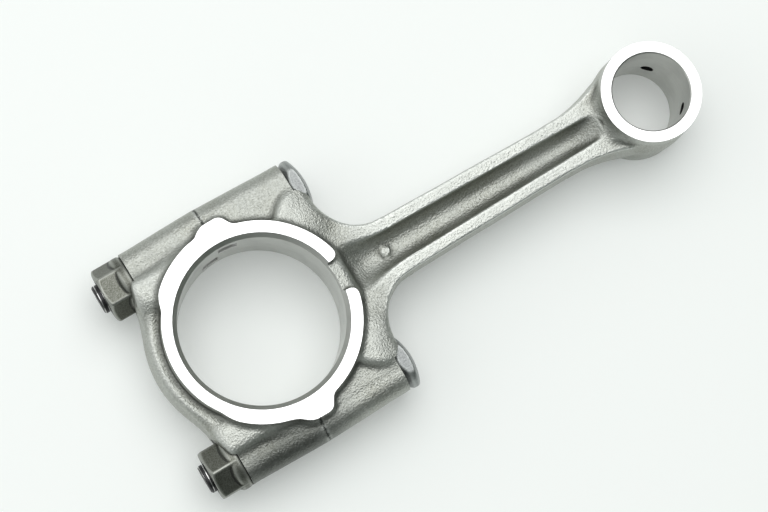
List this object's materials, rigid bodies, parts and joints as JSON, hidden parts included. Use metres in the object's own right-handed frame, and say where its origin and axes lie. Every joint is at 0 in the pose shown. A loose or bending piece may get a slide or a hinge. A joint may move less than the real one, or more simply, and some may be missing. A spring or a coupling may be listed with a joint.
{
  "type": "connecting rod",
  "caption": "Forged steel connecting rod with an I-section beam, plain small-end eye and a big end split square, its bearing cap held by through bolts and flange nuts.",
  "frame": {"origin": "centre of the big-end bore, halfway through its width", "axes": "+X along the beam to the small end, +Z along both bores, +Y completes the right hand; the rod lies flat with its cap towards -X"},
  "size_m": [0.1502, 0.0628, 0.0208],
  "materials": {
    "forging": "shot-blasted forging skin, with ground thrust faces and honed bores",
    "bolt_steel": "turned head, satin",
    "nut_steel": "dark phosphate, satin"
  },
  "bodies": {
    "rod": {"connecting_rod": "forging", "cap_bolt_a": "bolt_steel", "cap_bolt_b": "bolt_steel"},
    "cap": {"bearing_cap": "forging"},
    "nut_a": {"flange_nut_a": "nut_steel"},
    "nut_b": {"flange_nut_b": "nut_steel"}
  },
  "joints": [
    {"name": "cap_slide", "type": "slide", "parent": "rod", "child": "cap", "axis": [-1, 0, 0], "range_m": [0, 0.009]},
    {"name": "nut_a_spin", "type": "hinge", "parent": "cap", "child": "nut_a", "pos_m": [-0.0203, 0.0243, 0], "axis": [-1, 0, 0], "range_deg": [0, 3240]},
    {"name": "nut_b_spin", "type": "hinge", "parent": "cap", "child": "nut_b", "pos_m": [-0.0203, -0.0243, 0], "axis": [-1, 0, 0], "range_deg": [0, 3240]}
  ],
  "couplings": [
    {"joint": "nut_a_spin", "follows": "cap_slide", "rad_per_m": 6283.2},
    {"joint": "nut_b_spin", "follows": "cap_slide", "rad_per_m": 6283.2}
  ]
}
